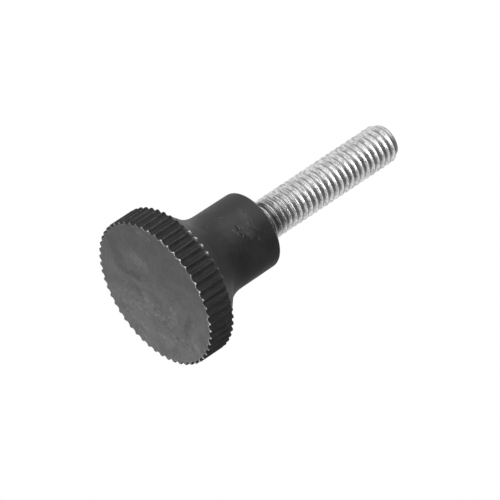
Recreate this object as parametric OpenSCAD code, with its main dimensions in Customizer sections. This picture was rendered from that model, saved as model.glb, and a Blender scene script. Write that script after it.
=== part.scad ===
// Adjustment knob: a moulded plastic head with a knurled rim on a moulded-in threaded steel stud.
// Millimetres. The knob stands on its flat face, with the origin at the face's centre and the stud along +Z.

/* [Rim] */
// Diameter over the knurl's crests
head_d = 22.6; // [20:0.1:26]
// Height of the knurled rim
rim_h = 4.4; // [3.4:0.1:6]
// Number of flutes round the rim
flute_count = 54; // [36:1:60]
// Depth of a flute below the crests
flute_depth = 0.45; // [0.3:0.05:0.6]
// Width of the crest left between two flutes
crest_w = 0.3; // [0.15:0.05:0.5]
// Bevel on the rim's two edges
rim_bevel = 0.25; // [0.1:0.05:0.3]

/* [Hub] */
// Height from the flat face to the hub's end
head_h = 18.5; // [17:0.1:24]
// Diameter of the hub where the fillet runs into it
hub_d = 11.9; // [11:0.1:14]
// Amount by which the hub narrows toward its end, for the mould's draft
hub_taper = 0.1; // [0:0.05:1]
// Radius on the hub's end edge
hub_edge_r = 0.4; // [0.2:0.05:0.8]
// Step from the flutes' bottoms in to the edge of the conical back
back_step = 0.15; // [0.05:0.05:0.8]
// Angle between the conical back and the axis, in degrees
back_angle = 43; // [35:1:55]
// Radius of the fillet between the back and the hub
fillet_r = 6; // [3:0.1:7]

/* [Stud] */
// Outside diameter of the thread
thread_d = 6; // [4:0.1:7]
// Length of the stud that stands out of the hub
stud_reach = 26; // [10:0.5:50]
// Depth of the chamfer at the stud's tip
tip_depth = 0.6; // [0.2:0.05:1.2]
// Length of the chamfer at the stud's tip
tip_h = 1; // [0.5:0.1:2]

/* [Moulded-in end] */
// Depth to which the stud reaches into the head
stud_depth = 12; // [9:0.1:14]
// Length of thread that lies inside the hub
thread_in = 0.1; // [0.1:0.1:3]
// Depth by which the shank between thread and collar lies below the thread
shank_step = 0.35; // [0.1:0.05:0.8]
// Width across the flats of the hexagonal collar that keeps the stud from turning
collar_af = 8; // [6.5:0.1:8.6]
// Height of the collar
collar_h = 4; // [2:0.1:6]
// Clearance between the stud and the plastic moulded round it
mould_gap = 0; // [0:0.01:0.05]

/* [Hidden] */
round_fn = 96;
hex_fn = 6;

// Flute arc: it is flute_w wide at the crests and flute_depth deep
flute_pitch = 360 / flute_count;
flute_w = head_d * sin(flute_pitch / 2) - crest_w;
flute_r = (pow(flute_w / 2, 2) + pow(flute_depth, 2)) / (2 * flute_depth);
flute_centre = head_d / 2 - flute_depth + flute_r;

// The turned core is rooted half-way up the rim, and its conical back starts at back_d
core_z = rim_h / 2;
back_d = head_d - 2 * (flute_depth + back_step);
// The cone runs into the fillet at cone_r and cone_z, and the fillet into the hub at hub_z
fillet_x = hub_d / 2 + fillet_r;
cone_r = fillet_x - fillet_r * cos(back_angle);
cone_z = rim_h + (back_d / 2 - cone_r) / tan(back_angle);
hub_z = cone_z + fillet_r * sin(back_angle);
hub_end_d = hub_d - hub_taper;
// The fillet's arc is cut a hair deep, so that it crosses the cone and the hub cleanly
fillet_overcut = 0.001;

// Diameters and heights along the stud
tip_d = thread_d - 2 * tip_depth;
shank_d = thread_d - 2 * shank_step;
collar_z = head_h - stud_depth;
thread_z = head_h - thread_in;
tip_z = head_h + stud_reach - tip_h;

// Half section of the rim before the flutes are cut
module rim_section() {
    r = head_d / 2;
    polygon([
        [0, 0],
        [r - rim_bevel, 0],
        [r, rim_bevel],
        [r, rim_h - rim_bevel],
        [r - rim_bevel, rim_h],
        [0, rim_h],
    ]);
}

// Outline of the rim from the front, with round-bottomed flutes
module fluted_outline() {
    difference() {
        circle(d = head_d, $fn = round_fn);
        for (i = [0 : flute_count - 1])
            rotate(i * flute_pitch)
                translate([flute_centre, 0])
                    circle(r = flute_r, $fn = round_fn);
    }
}

module knurled_rim() {
    intersection() {
        rotate_extrude($fn = round_fn) rim_section();
        linear_extrude(height = rim_h) fluted_outline();
    }
}

// Half section of the conical back, the fillet and the hub
module core_section() {
    difference() {
        polygon([
            [0, core_z],
            [back_d / 2, core_z],
            [back_d / 2, rim_h],
            [cone_r, cone_z],
            [fillet_x, hub_z],
            [hub_d / 2, hub_z],
            [hub_end_d / 2, head_h - hub_edge_r],
            [hub_end_d / 2 - hub_edge_r, head_h],
            [0, head_h],
        ]);
        translate([fillet_x, hub_z]) circle(r = fillet_r + fillet_overcut, $fn = round_fn);
    }
    translate([hub_end_d / 2 - hub_edge_r, head_h - hub_edge_r])
        circle(r = hub_edge_r, $fn = round_fn);
}

// The stud, or with a gap the room that it takes up in the head
module stud_form(gap) {
    translate([0, 0, collar_z - gap])
        cylinder(d = (collar_af + 2 * gap) / cos(180 / hex_fn), h = collar_h + 2 * gap, $fn = hex_fn);
    translate([0, 0, collar_z])
        cylinder(d = shank_d + 2 * gap, h = stud_depth, $fn = round_fn);
    translate([0, 0, thread_z - gap])
        cylinder(d = thread_d + 2 * gap, h = tip_z - thread_z + gap, $fn = round_fn);
    translate([0, 0, tip_z])
        cylinder(d1 = thread_d, d2 = tip_d, h = tip_h, $fn = round_fn);
}

// Black plastic moulding: knurled rim, conical back and hub in one
module knob_head() {
    color("#2c2c2d")
        difference() {
            union() {
                knurled_rim();
                rotate_extrude($fn = round_fn) core_section();
            }
            stud_form(mould_gap);
        }
}

// Zinc-plated steel stud
module threaded_stud() {
    color("silver") stud_form(0);
}

knob_head();
threaded_stud();
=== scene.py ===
import math

import bmesh
import bpy
from mathutils import Matrix, Vector


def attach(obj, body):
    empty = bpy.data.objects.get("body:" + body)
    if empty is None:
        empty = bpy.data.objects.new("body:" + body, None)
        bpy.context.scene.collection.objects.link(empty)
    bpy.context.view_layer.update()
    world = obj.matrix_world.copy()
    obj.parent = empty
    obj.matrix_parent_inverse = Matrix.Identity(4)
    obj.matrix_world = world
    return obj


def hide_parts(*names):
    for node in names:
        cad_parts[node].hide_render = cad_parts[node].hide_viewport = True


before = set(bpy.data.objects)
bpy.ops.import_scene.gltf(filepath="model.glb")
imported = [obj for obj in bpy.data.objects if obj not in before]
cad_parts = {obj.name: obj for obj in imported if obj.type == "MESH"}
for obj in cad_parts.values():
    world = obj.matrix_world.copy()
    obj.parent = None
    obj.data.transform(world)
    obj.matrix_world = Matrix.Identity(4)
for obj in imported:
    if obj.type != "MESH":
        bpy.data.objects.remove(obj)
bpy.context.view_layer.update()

MM = 0.001
FULL_TURN = 2 * math.pi

# Sizes of the head, as in the CAD model
HEAD_R = 11.3 * MM
RIM_H = 4.4 * MM
FLUTES = 54
FLUTE_DEPTH = 0.45 * MM
CREST_W = 0.3 * MM
RIM_BEVEL = 0.25 * MM
HEAD_H = 18.5 * MM
HUB_R = 5.95 * MM
HUB_END_R = 5.9 * MM
HUB_EDGE_R = 0.4 * MM
BACK_STEP = 0.15 * MM
BACK_R = HEAD_R - FLUTE_DEPTH - BACK_STEP
BACK_ANGLE = math.radians(43)
FILLET_R = 6 * MM

# Small radii that a moulding has on its edges
CREST_ROUND = 0.09 * MM
EDGE_ROUND = 0.14 * MM

# Radii of the rings of points on the face, and the gap from its last ring to its rounded edge
FACE_RINGS = (3 * MM, 6 * MM, 9 * MM, 10.4 * MM)
FACE_MARGIN = 0.06 * MM
# Heights of the rows of points on the rim, and of the row where the painted glints on the rear ends of its
# crests start
RIM_ROWS = (0.5 * MM, RIM_H / 2, RIM_H - 0.8 * MM)
GLINT_ENDS_Z = RIM_H - 0.5 * MM
# Radii of the rings of points on the hub's end, and size of the pocket there, whose wall the stud hides
HUB_END_RINGS = (5.3 * MM, 4.2 * MM, 2.4 * MM)
POCKET_R = 2.3 * MM
POCKET_DEPTH = 0.3 * MM

# Steps along each curve of the head and up the hub
FLUTE_STEPS = 8
CREST_STEPS = 4
BEVEL_STEPS = 6
FILLET_STEPS = 8
HUB_STEPS = 4
HUB_EDGE_STEPS = 5
# Shares of the way up the cone that have a row of points, the second close to the first for a crisp edge
CONE_SHARES = (0, 1 / 30, 1 / 3, 2 / 3)

# Sizes of the stud, as in the CAD model
STUD_R = 3 * MM
STUD_REACH = 26 * MM
TIP_Z = HEAD_H + STUD_REACH
TIP_DEPTH = 0.6 * MM
TIP_R = STUD_R - TIP_DEPTH
TIP_H = 1 * MM
# Where the stud's mesh starts, at the bottom of the pocket
STUD_START = HEAD_H - POCKET_DEPTH

# Sizes of the M6 x 1 thread, whose crests lie a little under the stud's radius
THREAD_R = 2.985 * MM
ROOT_R = 2.387 * MM
PITCH = 1 * MM
# Angle between a flank and the axis, width of the crest's flat, and share of a flank rounded at each end
FLANK_ANGLE = math.radians(60)
CREST_FLAT = 0.12 * MM
FLANK_ROUND = 0.12
# Height of a crest above the stud's start on the +X side, in pitches
CREST_START = 0.45
# Steps round a turn and along each rounding, and turns below the stud's start that are cut away
THREAD_STEPS = 96
ROUNDING_STEPS = 3
SPARE_TURNS = 2
# Angle between two faces of the stud above which the edge between them is sharp
SHARP_ANGLE = math.radians(40)

# Where the photograph shows the face's centre, in pixels, and how large
IMAGE = 500
FACE_PIXEL = (154.1, 293.4)
PIXELS_PER_M = 7275
# The camera's distance, its angle to the axis, its bearing round it, and the axis's slope in the picture
CAMERA_DISTANCE = 1.2
VIEW_ANGLE = math.radians(60.1)
CAMERA_BEARING = -13 * FULL_TURN / FLUTES
AXIS_SLOPE = math.radians(33.6)
# The sensor's width in millimetres, and how far the camera sees in metres
SENSOR_W = 36
CLIP_END = 10

# Bearing of the side of the face's edge that is palest from wear and a painted highlight, which is the
# camera's side
EDGE_WEAR_AND_GLINT_BEARING = CAMERA_BEARING
# Bearing of the side of the rim whose crests are rubbed pale and carry painted highlights
RUBBED_AND_GLINT_BEARING = math.radians(-150)
# Bearing of the crests whose rear ends carry painted glints, and how far the glints spread to each side
GLINT_ENDS_BEARING = math.radians(-100)
GLINT_ENDS_SPREAD = math.radians(16)
# Amounts of wear and painted glint, which the material breaks up into bits: above 1 the bits run together
EDGE_FLUTE_WEAR_AND_GLINT = 0.8
EDGE_CREST_WEAR_AND_GLINT = 2.4
RUBBED_WEAR_AND_GLINT = 0.06
REAR_WEAR = 0.4
GLINT_ENDS_START_PAINT = 0.5
GLINT_ENDS_PAINT = 5
HUB_EDGE_WEAR = 0.2
# Share of the face's edge wear and painted highlight that is left on its far side, and of the rear edge's
# wear that is in flutes
FAR_SHARE = 0.35
REAR_FLUTE_SHARE = 0.15


def add_object(name, data):
    """A new object with this data, put into the scene."""
    item = bpy.data.objects.new(name, data)
    bpy.context.collection.objects.link(item)
    return item


def camera_axes():
    """Right, up and forward of the camera in the object's frame."""
    toward = Vector((math.cos(CAMERA_BEARING), math.sin(CAMERA_BEARING), 0))
    axis = Vector((0, 0, 1))
    forward = axis * math.cos(VIEW_ANGLE) - toward * math.sin(VIEW_ANGLE)
    along = (axis - forward * math.cos(VIEW_ANGLE)).normalized()
    across = (-forward).cross(along)
    right = along * math.cos(AXIS_SLOPE) - across * math.sin(AXIS_SLOPE)
    up = along * math.sin(AXIS_SLOPE) + across * math.cos(AXIS_SLOPE)
    return right, up, forward


def add_camera():
    """The photograph's camera, placed so that the face's centre falls on its pixel."""
    right, up, forward = camera_axes()
    middle = (IMAGE - 1) / 2
    x = (FACE_PIXEL[0] - middle) / PIXELS_PER_M
    y = (middle - FACE_PIXEL[1]) / PIXELS_PER_M
    place = -(right * x + up * y + forward * CAMERA_DISTANCE)
    data = bpy.data.cameras.new("camera")
    data.sensor_width = SENSOR_W
    data.lens = PIXELS_PER_M * CAMERA_DISTANCE / IMAGE * SENSOR_W
    data.clip_end = CLIP_END
    camera = add_object("camera", data)
    turn = Matrix((right, up, -forward)).transposed()
    camera.matrix_world = Matrix.Translation(place) @ turn.to_4x4()
    bpy.context.scene.camera = camera


class Nodes:
    """Adds nodes to one node tree and links them by their sockets."""

    def __init__(self, tree):
        self.tree = tree
        tree.nodes.clear()

    def add(self, kind, inputs=None, out=0, **settings):
        """One output of a new node, whose inputs are each a socket to link or a value to set."""
        node = self.tree.nodes.new(kind)
        for name, value in settings.items():
            setattr(node, name, value)
        for key, value in (inputs or {}).items():
            if isinstance(value, bpy.types.NodeSocket):
                self.tree.links.new(value, node.inputs[key])
            else:
                node.inputs[key].default_value = value
        return node.outputs[out] if node.outputs else node

    def noise(self, place, scale, detail=4.0, rough=0.6):
        inputs = {"Vector": place, "Scale": scale, "Detail": detail, "Roughness": rough}
        return self.add("ShaderNodeTexNoise", inputs)

    def ramp(self, value, low, high, to_low=0.0, to_high=1.0):
        """Goes smoothly from to_low to to_high as the value goes from low to high."""
        inputs = {"Value": value, "From Min": low, "From Max": high, "To Min": to_low, "To Max": to_high}
        return self.add("ShaderNodeMapRange", inputs, interpolation_type="SMOOTHSTEP")

    def math(self, operation, a, b=0.0, c=0.0):
        return self.add("ShaderNodeMath", {0: a, 1: b, 2: c}, operation=operation)

    def mix(self, factor, a, b):
        return self.add("ShaderNodeMix", {0: factor, 2: a, 3: b}, data_type="FLOAT")

    def vector(self, operation, a, b):
        """A vector made from two vectors."""
        return self.add("ShaderNodeVectorMath", {0: a, 1: b}, operation=operation)

    def measure(self, operation, a, b=(0, 0, 0)):
        """A number made from two vectors."""
        return self.add("ShaderNodeVectorMath", {0: a, 1: b}, out="Value", operation=operation)

    def scaled(self, vector, factor):
        return self.add("ShaderNodeVectorMath", {0: vector, "Scale": factor}, operation="SCALE")

    def stretched(self, place, scale):
        return self.add("ShaderNodeMapping", {"Vector": place, "Scale": scale})

    def parts(self, place):
        """The X, Y and Z of a place."""
        return self.add("ShaderNodeSeparateXYZ", {0: place}).node.outputs

    def attribute(self, name):
        return self.add("ShaderNodeAttribute", out="Fac", attribute_name=name)

    def place(self):
        """The object's own coordinates in millimetres."""
        coordinates = self.add("ShaderNodeTexCoord", out="Object")
        return self.stretched(coordinates, (1 / MM, 1 / MM, 1 / MM))

    def marks(self, place, lines, wobble, broken):
        """Soft marks along straight lines, moved about by a noise and broken up by another."""
        drift = self.add("ShaderNodeTexNoise", {"Vector": place, "Scale": 0.8, "Detail": 2.0}, out="Color")
        drift = self.scaled(self.vector("SUBTRACT", drift, (0.5, 0.5, 0.5)), 2 * wobble)
        place = self.vector("MULTIPLY", self.vector("ADD", place, drift), (1, 1, 0))
        total = None
        for start, end, width in lines:
            start, end = Vector((*start, 0)), Vector((*end, 0))
            run = end - start
            past = self.vector("SUBTRACT", place, start)
            share = self.measure("DOT_PRODUCT", past, run / run.length_squared)
            nearest = self.scaled(run, self.add("ShaderNodeClamp", {"Value": share}))
            mark = self.ramp(self.measure("DISTANCE", past, nearest), width, 0.0)
            total = mark if total is None else self.math("MAXIMUM", total, mark)
        unbroken = self.ramp(self.noise(place, 2.0, detail=3.0), 0.62, 0.38, to_low=1 - broken)
        return self.math("MULTIPLY", total, unbroken)

    def surface(self, inputs, height, bump_strength):
        """Ends a material in a shader with these inputs and a bump from the height."""
        shape = {"Height": height, "Strength": bump_strength, "Distance": BUMP_DEPTH}
        bump = self.add("ShaderNodeBump", shape)
        shader = self.add("ShaderNodeBsdfPrincipled", {**inputs, "Normal": bump})
        self.add("ShaderNodeOutputMaterial", {"Surface": shader})


def new_material(name):
    """A new material and the nodes to fill it with."""
    material = bpy.data.materials.new(name)
    material.use_nodes = True
    return material, Nodes(material.node_tree)


# Depth that a bump's full height stands for
BUMP_DEPTH = 0.06 * MM

# Marks on the face, as (start, end, half width) in millimetres from its centre
FACE_SCRATCHES = (
    ((-8.7, -5.7), (-7.1, -6.1), 0.08),
    ((-8.2, -6.3), (-6.0, -7.5), 0.09),
    ((-6.9, -6.2), (-5.9, -6.9), 0.06),
)
DARK_SMUDGES = (
    ((-9.9, 1.4), (-7.0, 1.9), 1.3),
    ((-6.0, 3.6), (-3.0, 0.7), 1.2),
    ((-2.7, 3.0), (-1.2, 3.3), 0.8),
    ((-4.6, -3.4), (-3.4, -2.9), 0.8),
    ((6.0, -3.5), (7.2, -1.0), 1.2),
)
PALE_SMUDGES = (
    ((-5.6, -0.9), (-4.0, -1.9), 1.9),
    ((-1.5, 6.6), (1.8, 7.6), 1.6),
    ((2.6, 7.4), (4.4, 8.4), 1.2),
    ((-0.6, 2.2), (1.4, 3.6), 1.4),
    ((-0.6, 5.6), (3.2, 6.6), 2.0),
)
DARK_STROKES = (
    ((-9.4, 0.6), (-8.9, 1.0), 0.3),
    ((-9.1, 2.7), (-7.7, 2.2), 0.3),
    ((-6.1, 4.3), (-5.6, 4.3), 0.35),
    ((-4.6, 5.5), (-4.0, 4.9), 0.3),
    ((-2.7, 3.7), (-1.5, 3.6), 0.22),
    ((-5.4, -3.2), (-4.3, -2.5), 0.3),
    ((-4.8, 3.0), (-3.4, 1.5), 0.35),
    ((4.1, 1.9), (4.2, 0.7), 0.25),
    ((7.1, -0.7), (7.7, -0.5), 0.25),
)
PALE_STROKES = (
    ((1.7, 7.5), (3.3, 7.8), 0.45),
    ((1.0, 4.6), (1.7, 5.3), 0.35),
    ((-0.6, 5.7), (0.3, 5.6), 0.4),
    ((-0.3, 8.4), (0.6, 8.3), 0.3),
    ((-0.4, 2.7), (0.0, 2.7), 0.3),
    ((3.0, -1.5), (3.6, -1.0), 0.3),
    ((4.8, 5.2), (5.5, 4.8), 0.4),
    ((9.1, -1.0), (9.9, -0.9), 0.45),
)
DUST = (
    ((-1.5, 4.8), (4.0, 1.2), 4.0),
    ((7.5, 2.0), (9.8, -1.6), 2.0),
    ((-3.0, 8.0), (3.5, 9.0), 1.8),
)
# The smudges and strokes in the order in which they lie, as (lines, wobble, share broken up, grey)
FACE_LAYERS = (
    (DARK_SMUDGES, 1.0, 0.7, 0.045),
    (PALE_SMUDGES, 1.2, 0.7, 0.14),
    (DARK_STROKES, 0.8, 0.6, 0.045),
    (PALE_STROKES, 1.0, 0.7, 0.2),
)

# Marks on the hub, as (start, end, half width) with the arc round the axis and the height in millimetres
HUB_PALE = (
    ((-10.4, 12.6), (-9.4, 12.8), 0.12),
    ((-10.5, 13.5), (-8.8, 13.35), 0.07),
    ((-10.4, 15.85), (-8.9, 15.6), 0.1),
    ((-8.75, 15.6), (-8.45, 15.9), 0.07),
    ((-8.0, 15.6), (-7.1, 15.25), 0.04),
    ((-13.6, 12.1), (-12.9, 12.95), 0.06),
    ((-12.8, 9.9), (-12.4, 9.7), 0.1),
)
# Dark lines on the hub: scratches, some of them painted shadow beside the pale ones
HUB_DARK_AND_SHADOW = (
    ((-10.6, 13.25), (-8.4, 13.2), 0.17),
    ((-10.2, 13.6), (-8.4, 13.6), 0.13),
    ((-10.7, 15.75), (-9.6, 15.6), 0.12),
    ((-14.5, 12.6), (-13.6, 13.4), 0.1),
    ((-12.9, 9.6), (-12.5, 9.5), 0.12),
)
HUB_SCUFFS = (
    ((-12.2, 15.6), (-9.8, 15.4), 0.9),
    ((-10.1, 14.1), (-8.5, 14.5), 0.8),
)
HUB_SMEAR = (
    ((-12.5, 10.0), (-9.5, 9.6), 2.4),
)

# Direction in which a painted sheen makes the face paler, and how far to each side of its centre in
# millimetres
SHEEN_SIDE = (0.6, 0.8, 0)
SHEEN_REACH = 11.0
# Greys of the plastic, from dark to pale where there are two
# The face's greys are its mottled finish with a painted sheen on top, which makes them paler than the
# hub's
FACE_GREYS_AND_SHEEN = (0.057, 0.122)
DUST_GREYS = (0.03, 0.24)
HUB_GREYS = (0.014, 0.024)
SCUFF_GREY = 0.06
RIM_GREYS = (0.013, 0.027)
FLECK_GREY = 0.07
GROOVE_AND_SHADOW_GREY = 0.003
SCRATCH_GREY = 0.24
# Pale of the wear, which also paints the glints and highlights
WORN_AND_GLINT_GREY = 0.85
# Heights in millimetres between which the hub gets paler toward the rim, and by how much
HUB_FADE = (12.0, 7.0)
HUB_FADE_GREY = 0.01
# Roughness of the plastic
PLASTIC_ROUGH = (0.42, 0.55)
SMEAR_ROUGH = 0.68
RIM_ROUGH = 0.72
WORN_AND_GLINT_ROUGH = 0.3
GROOVE_ROUGH = 0.95

# Greys of the zinc on the thread, of the painted shade in its roots, and of the painted shade in the roots
# near the hub
ZINC_GREYS = (0.8, 0.92)
ROOT_SHADE_GREY = 0.4
HUB_SHADE_GREY = 0.06
# Heights in millimetres between which the painted shade near the hub thins out
HUB_SHADE_FADE = (HEAD_H / MM, 25.0)
# Roughness of the zinc
ZINC_ROUGH = (0.22, 0.34)


def face_tone(nodes, place, cloud):
    """Grey of the face: its finish with a painted sheen that is paler toward one side, with streaks,
    smudges, strokes and specks of dust.
    """
    # Painted sheen: the face's base grey and its paling toward one side
    across = nodes.measure("DOT_PRODUCT", place, SHEEN_SIDE)
    tone = nodes.ramp(across, -SHEEN_REACH, SHEEN_REACH, *FACE_GREYS_AND_SHEEN)
    tone = nodes.math("MULTIPLY", tone, nodes.ramp(cloud, 0.38, 0.62, to_low=0.68, to_high=1.34))
    turned = {"Vector": place, "Rotation": (0, 0, 1.0), "Scale": (2.2, 0.4, 1)}
    streaks = nodes.noise(nodes.add("ShaderNodeMapping", turned, vector_type="TEXTURE"), 1.0)
    tone = nodes.math("MULTIPLY", tone, nodes.ramp(streaks, 0.32, 0.68, to_low=0.93, to_high=1.07))
    for lines, wobble, broken, grey in FACE_LAYERS:
        tone = nodes.mix(nodes.marks(place, lines, wobble, broken), tone, grey)
    dust = nodes.marks(place, DUST, wobble=1.5, broken=0.7)
    specks = nodes.noise(place, 1.4, detail=2.0)
    dark, pale = DUST_GREYS
    tone = nodes.mix(nodes.math("MULTIPLY", dust, nodes.ramp(specks, 0.56, 0.7)), tone, pale)
    return nodes.mix(nodes.math("MULTIPLY", dust, nodes.ramp(specks, 0.42, 0.3)), tone, dark)


def black_plastic():
    """Matte moulded plastic: mottled, greyer on the face with a painted sheen, with scratches, and pale
    wear and painted glints on its edges.
    """
    material, nodes = new_material("black_plastic")
    place = nodes.place()
    parts = nodes.parts(place)
    arc = nodes.math("MULTIPLY", nodes.math("ARCTAN2", parts["Y"], parts["X"]), HUB_R / MM)
    unrolled = nodes.add("ShaderNodeCombineXYZ", {"X": arc, "Y": parts["Z"]})
    face, rim, wear_and_glint = nodes.attribute("face"), nodes.attribute("rim"), nodes.attribute("wear_and_glint")
    plain = nodes.math("SUBTRACT", 1.0, nodes.math("MAXIMUM", face, rim))

    mottle = nodes.noise(place, 0.35, detail=6.0, rough=0.62)
    speckle = nodes.noise(place, 2.6)
    cloud = nodes.math("MULTIPLY_ADD", speckle, 0.35, nodes.math("MULTIPLY", mottle, 0.65))
    hub = nodes.ramp(cloud, 0.4, 0.6, *HUB_GREYS)
    hub = nodes.math("ADD", hub, nodes.ramp(parts["Z"], *HUB_FADE, to_high=HUB_FADE_GREY))
    hub = nodes.mix(nodes.marks(unrolled, HUB_SCUFFS, wobble=0.9, broken=0.8), hub, SCUFF_GREY)
    streaks = nodes.noise(nodes.stretched(unrolled, (5, 0.5, 1)), 1.0, detail=3.0)
    flutes = nodes.ramp(streaks, 0.35, 0.65, *RIM_GREYS)
    flecks = nodes.ramp(nodes.noise(place, 1.5, detail=2.0), 0.66, 0.76)
    flutes = nodes.mix(flecks, flutes, FLECK_GREY)
    base = nodes.mix(face, nodes.mix(rim, hub, flutes), face_tone(nodes, place, cloud))

    pale = nodes.math("MULTIPLY", nodes.marks(unrolled, HUB_PALE, wobble=0.35, broken=0.9), plain)
    # Dark scratch lines, some of them painted shadow beside pale scratches
    dark = nodes.math("MULTIPLY", nodes.marks(unrolled, HUB_DARK_AND_SHADOW, wobble=0.35, broken=0.7), plain)
    cut = nodes.math("MULTIPLY", nodes.marks(place, FACE_SCRATCHES, wobble=0.12, broken=0.8), face)
    scratches = nodes.math("MAXIMUM", pale, cut)
    clumps = nodes.ramp(nodes.noise(place, 0.5, detail=3.0), 0.38, 0.58, to_low=0.2)
    bits = nodes.ramp(nodes.noise(place, 4.0, detail=3.0, rough=0.7), 0.4, 0.55, to_low=0.15)
    # Pale bits of real wear, and painted glints and highlights on the crests and the face's edge
    worn_and_glint = nodes.math("MULTIPLY", wear_and_glint, nodes.math("MULTIPLY", clumps, bits))
    colour = nodes.mix(dark, base, GROOVE_AND_SHADOW_GREY)
    colour = nodes.mix(scratches, colour, SCRATCH_GREY)
    colour = nodes.mix(worn_and_glint, colour, WORN_AND_GLINT_GREY)

    smear = nodes.marks(unrolled, HUB_SMEAR, wobble=1.0, broken=0.4)
    rough = nodes.mix(smear, nodes.ramp(cloud, 0.4, 0.6, *PLASTIC_ROUGH), SMEAR_ROUGH)
    rough = nodes.mix(rim, rough, RIM_ROUGH)
    rough = nodes.mix(nodes.math("MAXIMUM", worn_and_glint, dark), rough, nodes.mix(dark, WORN_AND_GLINT_ROUGH, GROOVE_ROUGH))
    grain = nodes.noise(place, 7.0, detail=3.0)
    grooves = nodes.math("MULTIPLY_ADD", dark, 3.0, scratches)
    height = nodes.math("MULTIPLY_ADD", grain, 0.4, nodes.math("SUBTRACT", cloud, grooves))
    nodes.surface({"Base Color": colour, "Roughness": rough, "IOR": 1.5}, height, bump_strength=0.35)
    return material


def zinc_steel():
    """Bright zinc plating on a rolled thread, uneven, with painted shade in the roots that is darker near
    the hub.
    """
    material, nodes = new_material("zinc_steel")
    place = nodes.place()
    depth = nodes.attribute("depth")
    patches = nodes.noise(place, 1.1, detail=5.0, rough=0.7)
    grain = nodes.noise(nodes.stretched(place, (0.25, 0.25, 1.4)), 5.0, rough=0.75)
    colour = nodes.ramp(patches, 0.35, 0.65, *ZINC_GREYS)
    colour = nodes.math("MULTIPLY", colour, nodes.ramp(grain, 0.36, 0.6, to_low=0.54, to_high=1.1))
    # Painted shade: the roots are darkened where shade would fall in them
    colour = nodes.mix(nodes.ramp(depth, 0.5, 1.0), colour, ROOT_SHADE_GREY)
    # Painted shade: the roots near the hub are darkened further, where the hub would shade them
    near_hub = nodes.ramp(nodes.parts(place)["Z"], *HUB_SHADE_FADE, to_low=0.95, to_high=0.0)
    hub_shade = nodes.math("MULTIPLY", near_hub, nodes.ramp(depth, 0.25, 0.6))
    colour = nodes.mix(hub_shade, colour, HUB_SHADE_GREY)
    rough = nodes.ramp(patches, 0.35, 0.65, *ZINC_ROUGH)
    nodes.surface({"Base Color": colour, "Metallic": 1.0, "Roughness": rough}, grain, bump_strength=0.45)
    return material


def bezier(points, share):
    """Point at a share of the way along the curve with these control points."""
    points = [Vector(p) for p in points]
    while len(points) > 1:
        points = [a.lerp(b, share) for a, b in zip(points, points[1:])]
    return points[0]


def flute_outline():
    """One flute, from the middle of a crest to the edge of the next, as (angle, radius, depth)."""
    pitch = FULL_TURN / FLUTES
    half_w = (2 * HEAD_R * math.sin(pitch / 2) - CREST_W) / 2
    arc_r = (half_w ** 2 + FLUTE_DEPTH ** 2) / (2 * FLUTE_DEPTH)
    centre = HEAD_R - FLUTE_DEPTH + arc_r
    edge = math.acos((centre ** 2 + arc_r ** 2 - HEAD_R ** 2) / (2 * centre * arc_r))

    def arc(turn):
        return Vector((centre - arc_r * math.cos(turn), arc_r * math.sin(turn)))

    corner = arc(edge)
    crest_angle = math.atan2(corner.y, corner.x) + CREST_ROUND / HEAD_R
    crest = Vector((math.cos(crest_angle), math.sin(crest_angle))) * HEAD_R
    arc_end = edge - CREST_ROUND / arc_r
    half = [arc(arc_end * k / FLUTE_STEPS) for k in range(FLUTE_STEPS + 1)]
    rounding = (half[-1], corner, crest)
    half += [bezier(rounding, k / CREST_STEPS) for k in range(1, CREST_STEPS + 1)]
    polar = [(math.atan2(p.y, p.x), p.length) for p in half]
    mirrored = [(-angle, r) for angle, r in reversed(polar[1:])]
    outline = [(-pitch / 2, HEAD_R)] + mirrored + polar
    return [(angle, r, (HEAD_R - r) / FLUTE_DEPTH) for angle, r in outline]


def rounded_edge(inner, outer):
    """Points of a rounded bevel from inner to outer, each with its share of the way."""
    bend = (outer[0], inner[1])
    shares = [k / BEVEL_STEPS for k in range(BEVEL_STEPS + 1)]
    return [(bezier((inner, bend, outer), share), share) for share in shares]


def facing(angle, bearing):
    """1 at the bearing, falling to 0 a quarter turn to each side of it."""
    return max(0.0, math.cos(angle - bearing)) ** 2


def edge_wear_and_glint(share, crest, angle):
    """Wear and painted highlight across the face's rounded edge: more on the crests and toward the edge's
    bearing.
    """
    # The wear and painted highlight have begun where the edge starts from the face, and end before the
    # edge does
    across = max(0.0, math.sin(math.pi * (0.15 + 1.2 * share))) ** 2
    side = FAR_SHARE + (1 - FAR_SHARE) * facing(angle, EDGE_WEAR_AND_GLINT_BEARING)
    return across * side * (EDGE_FLUTE_WEAR_AND_GLINT + (EDGE_CREST_WEAR_AND_GLINT - EDGE_FLUTE_WEAR_AND_GLINT) * crest)


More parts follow.
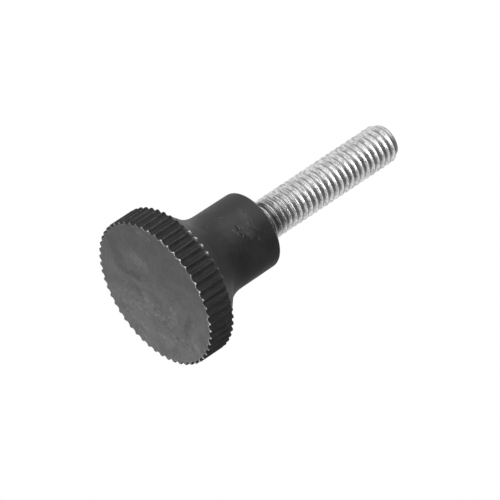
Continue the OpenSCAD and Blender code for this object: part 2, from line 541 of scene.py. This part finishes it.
def head_section(r, depth, angle):
    """Half section of the head where the rim has radius r, as (radius, height, face, rim, wear and painted
    glint).
    """
    crest = max(0.0, 1 - depth)
    # Painted glints on the rear ends of the crests round one bearing
    off = math.remainder(angle - GLINT_ENDS_BEARING, FULL_TURN)
    glint_end = max(0.0, 1 - (off / GLINT_ENDS_SPREAD) ** 2)
    bevel = max(r - HEAD_R + RIM_BEVEL, EDGE_ROUND)
    rows = [(x, 0, 1, 0, 0) for x in (*FACE_RINGS, r - bevel - FACE_MARGIN)]
    for p, share in rounded_edge((r - bevel, 0), (r, bevel)):
        rows.append((p.x, p.y, 1 - share, share, edge_wear_and_glint(share, crest, angle)))
    # Painted highlight, with some rubbing, on the crests toward one bearing
    rubbed_and_glint = RUBBED_WEAR_AND_GLINT * facing(angle, RUBBED_AND_GLINT_BEARING) * crest ** 2
    rows += [(r, z, 0, 1, rubbed_and_glint) for z in RIM_ROWS]
    rows.append((r, GLINT_ENDS_Z, 0, 1, GLINT_ENDS_START_PAINT * glint_end * crest ** 2))
    for p, share in reversed(rounded_edge((r - bevel, RIM_H), (r, RIM_H - bevel))):
        rear = REAR_WEAR * math.sin(math.pi * share) * (REAR_FLUTE_SHARE + (1 - REAR_FLUTE_SHARE) * crest)
        rows.append((p.x, p.y, 0, 1, max(rear, GLINT_ENDS_PAINT * glint_end * crest)))
    return rows + [(x, z, 0, 0, wear_and_glint) for x, z, wear_and_glint in back_section()]


def back_section():
    """Half section of the cone, the fillet, the hub and the hub's end, as (radius, height, wear)."""
    centre_r = HUB_R + FILLET_R
    cone_r = centre_r - FILLET_R * math.cos(BACK_ANGLE)
    cone_z = RIM_H + (BACK_R - cone_r) / math.tan(BACK_ANGLE)
    hub_z = cone_z + FILLET_R * math.sin(BACK_ANGLE)
    rows = []
    for share in CONE_SHARES:
        rows.append((BACK_R + (cone_r - BACK_R) * share, RIM_H + (cone_z - RIM_H) * share, 0))
    for k in range(FILLET_STEPS + 1):
        turn = BACK_ANGLE * (1 - k / FILLET_STEPS)
        rows.append((centre_r - FILLET_R * math.cos(turn), hub_z - FILLET_R * math.sin(turn), 0))
    edge_z = HEAD_H - HUB_EDGE_R
    for k in range(1, HUB_STEPS):
        share = k / HUB_STEPS
        rows.append((HUB_R + (HUB_END_R - HUB_R) * share, hub_z + (edge_z - hub_z) * share, 0))
    for k in range(HUB_EDGE_STEPS + 1):
        turn = math.pi / 2 * k / HUB_EDGE_STEPS
        x = HUB_END_R - HUB_EDGE_R * (1 - math.cos(turn))
        rows.append((x, edge_z + HUB_EDGE_R * math.sin(turn), HUB_EDGE_WEAR * math.sin(2 * turn)))
    rows += [(x, HEAD_H, 0) for x in (*HUB_END_RINGS, POCKET_R)]
    return rows + [(POCKET_R, STUD_START, 0)]


def add_mesh(name, points, faces, values, material):
    """A smooth mesh object with one float attribute for each list in values."""
    mesh = bpy.data.meshes.new(name)
    mesh.from_pydata(points, [], faces)
    for key, numbers in values.items():
        mesh.attributes.new(key, "FLOAT", "POINT").data.foreach_set("value", numbers)
    mesh.materials.append(material)
    mesh.shade_smooth()
    return add_object(name, mesh)


def add_head(material):
    """The plastic head as one closed skin with rounded edges and a shallow pocket for the stud."""
    columns = []
    for i in range(FLUTES):
        turn = FULL_TURN * i / FLUTES
        for angle, r, depth in flute_outline():
            columns.append((turn + angle, head_section(r, depth, turn + angle)))
    # The first two points are the centres of the face and of the pocket's bottom
    points = [(0, 0, 0), (0, 0, STUD_START)]
    values = {"face": [1.0, 0.0], "rim": [0.0, 0.0], "wear_and_glint": [0.0, 0.0]}
    centres = len(points)
    for angle, rows in columns:
        for r, z, *marks in rows:
            points.append((r * math.cos(angle), r * math.sin(angle), z))
            for numbers, mark in zip(values.values(), marks):
                numbers.append(mark)
    height = len(columns[0][1])
    faces = []
    for j in range(len(columns)):
        a = centres + j * height
        b = centres + (j + 1) % len(columns) * height
        faces.append((0, b, a))
        faces.append((1, a + height - 1, b + height - 1))
        faces += [(a + k, b + k, b + k + 1, a + k + 1) for k in range(height - 1)]
    return add_mesh("head", points, faces, values, material)


def thread_profile():
    """One pitch of the thread from root to root, as (height, radius) with the crest at height 0."""
    flank_h = (THREAD_R - ROOT_R) / math.tan(FLANK_ANGLE)
    crest = Vector((-CREST_FLAT / 2, THREAD_R))
    root = Vector((-CREST_FLAT / 2 - flank_h, ROOT_R))
    bend = (crest - root) * FLANK_ROUND
    shares = [k / ROUNDING_STEPS for k in range(ROUNDING_STEPS + 1)]
    half = [bezier(((-PITCH / 2, ROOT_R), root, root + bend), share) for share in shares]
    half += [bezier((crest - bend, crest, (0, THREAD_R)), share) for share in shares]
    return [(p.x, p.y) for p in half] + [(-p.x, p.y) for p in reversed(half[1:-1])]


def add_stud(material):
    """The stud's thread as a true right-hand helix, with a chamfered tip."""
    profile = thread_profile()
    turns = math.ceil((TIP_Z - STUD_START) / PITCH) + SPARE_TURNS + 1
    points, depth = [], []
    for j in range(THREAD_STEPS):
        angle = FULL_TURN * j / THREAD_STEPS
        for turn in range(turns):
            crest_z = STUD_START + PITCH * (CREST_START - SPARE_TURNS + turn + j / THREAD_STEPS)
            for rise, r in profile:
                z = crest_z + rise
                chamfer_r = TIP_R + (TIP_Z - z) / TIP_H * (STUD_R - TIP_R)
                depth.append((THREAD_R - r) / (THREAD_R - ROOT_R) if r < chamfer_r else 0.0)
                r = min(r, chamfer_r)
                points.append((r * math.cos(angle), r * math.sin(angle), z))
    height = turns * len(profile)
    faces = []
    for j in range(THREAD_STEPS):
        a = j * height
        b = a + height
        shift = 0
        # After a full turn, each pitch joins the next one up
        if j == THREAD_STEPS - 1:
            b, shift = 0, len(profile)
        for k in range(height - 1 - shift):
            faces.append((a + k, b + k + shift, b + k + shift + 1, a + k + 1))
    piece = add_mesh("stud", points, faces, {"depth": depth}, material)
    cut_ends(piece.data)
    return piece


def cut_ends(data):
    """Cuts the stud off flat at its start and tip, closes it there and marks its sharp edges."""
    mesh = bmesh.new()
    mesh.from_mesh(data)
    for z, side in ((STUD_START, -1), (TIP_Z, 1)):
        everything = mesh.verts[:] + mesh.edges[:] + mesh.faces[:]
        cut = bmesh.ops.bisect_plane(
            mesh, geom=everything, plane_co=(0, 0, z), plane_no=(0, 0, side), clear_outer=True)
        loop = [e for e in cut["geom_cut"] if isinstance(e, bmesh.types.BMEdge)]
        bmesh.ops.contextual_create(mesh, geom=loop)
    for edge in mesh.edges:
        if len(edge.link_faces) == 2 and edge.calc_face_angle() > SHARP_ANGLE:
            edge.smooth = False
    mesh.to_mesh(data)
    mesh.free()


# Direction of the pale backdrop that reflections show, and the cosines to it between which it fades in
BACKDROP = Vector((-0.73, 0.35, -0.58)).normalized()
BACKDROP_FADE = (-0.8, 0.2)
# Strengths of the world: in reflections away from and toward the backdrop, as ambient light, and as seen
MIRRORED = (0.22, 0.8)
AMBIENT = 0.4
WHITE = 1.0
# Point that the lamps are aimed at, and their distance from it
LAMP_AIM = Vector((0, 0, 15 * MM))
LAMP_DISTANCE = 0.8
# Radius of the floor, its sides, its drop below the face, and the millimetres between which it fades
FLOOR_R = 0.2
FLOOR_SIDES = 64
FLOOR_DROP = 0.1 * MM
FLOOR_FADE = (60, 190)
# Greys of the floor, and the glow that brings it near to the white background
FLOOR_GREYS = (0.79, 0.81)
FLOOR_GLOW = 0.3


def add_world():
    """White to the camera, a soft studio for everything else."""
    world = bpy.data.worlds.new("studio")
    world.use_nodes = True
    bpy.context.scene.world = world
    nodes = Nodes(world.node_tree)

    def background(strength):
        return nodes.add("ShaderNodeBackground", {"Color": (1, 1, 1, 1), "Strength": strength})

    toward = nodes.measure("DOT_PRODUCT", nodes.add("ShaderNodeTexCoord", out="Generated"), BACKDROP)
    mirrored = background(nodes.ramp(toward, *BACKDROP_FADE, *MIRRORED))
    path = nodes.add("ShaderNodeLightPath").node.outputs
    glossy = nodes.math("MAXIMUM", path["Is Glossy Ray"], path["Is Transmission Ray"])
    lit = nodes.add("ShaderNodeMixShader", {0: glossy, 1: background(AMBIENT), 2: mirrored})
    seen = nodes.add("ShaderNodeMixShader", {0: path["Is Camera Ray"], 1: lit, 2: background(WHITE)})
    nodes.add("ShaderNodeOutputWorld", {"Surface": seen})


def add_lamp(name, direction, size, power):
    """A round soft lamp that stands in this direction from the object and faces it."""
    data = bpy.data.lights.new(name, "AREA")
    data.shape = "DISK"
    data.size = size
    data.energy = power
    lamp = add_object(name, data)
    direction = Vector(direction).normalized()
    lamp.location = LAMP_AIM + direction * LAMP_DISTANCE
    lamp.rotation_mode = "QUATERNION"
    lamp.rotation_quaternion = direction.to_track_quat("Z", "Y")


def floor_paper():
    """Pale paper that is seen from above only, and fades into the white background."""
    material, nodes = new_material("floor")
    place = nodes.place()
    solid = nodes.ramp(nodes.measure("LENGTH", place), *FLOOR_FADE, to_low=1.0, to_high=0.0)
    path = nodes.add("ShaderNodeLightPath", out="Is Camera Ray")
    back = nodes.add("ShaderNodeNewGeometry", out="Backfacing")
    shown = nodes.math("MULTIPLY", nodes.math("MULTIPLY", path, nodes.math("SUBTRACT", 1.0, back)), solid)
    paper = nodes.ramp(nodes.noise(place, 0.15, detail=3.0), 0.3, 0.7, *FLOOR_GREYS)
    matte = nodes.add("ShaderNodeBsdfDiffuse", {"Color": paper})
    glow = nodes.add("ShaderNodeEmission", {"Strength": FLOOR_GLOW})
    pale = nodes.add("ShaderNodeAddShader", {0: matte, 1: glow})
    clear = nodes.add("ShaderNodeBsdfTransparent")
    shader = nodes.add("ShaderNodeMixShader", {0: shown, 1: clear, 2: pale})
    nodes.add("ShaderNodeOutputMaterial", {"Surface": shader})
    return material


def add_floor():
    """A round floor just below the face that the knob stands on."""
    mesh = bmesh.new()
    bmesh.ops.create_circle(mesh, cap_ends=True, segments=FLOOR_SIDES, radius=FLOOR_R)
    bmesh.ops.translate(mesh, verts=mesh.verts, vec=(0, 0, -FLOOR_DROP))
    data = bpy.data.meshes.new("floor")
    mesh.to_mesh(data)
    mesh.free()
    data.materials.append(floor_paper())
    floor = add_object("floor", data)


add_camera()
add_world()
add_lamp("top_light", direction=(-0.46, -0.73, 0.5), size=0.9, power=2.3)
add_lamp("front_light", direction=(0.25, -0.44, -0.9), size=0.5, power=3.1)
add_lamp("back_light", direction=(-0.06, 0.52, 0.85), size=0.12, power=0.4)
add_floor()

head = add_head(black_plastic())
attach(head, "root")
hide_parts("knob_head")

stud = add_stud(zinc_steel())
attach(stud, "root")
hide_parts("threaded_stud")

bpy.context.scene.view_settings.view_transform = "Standard"
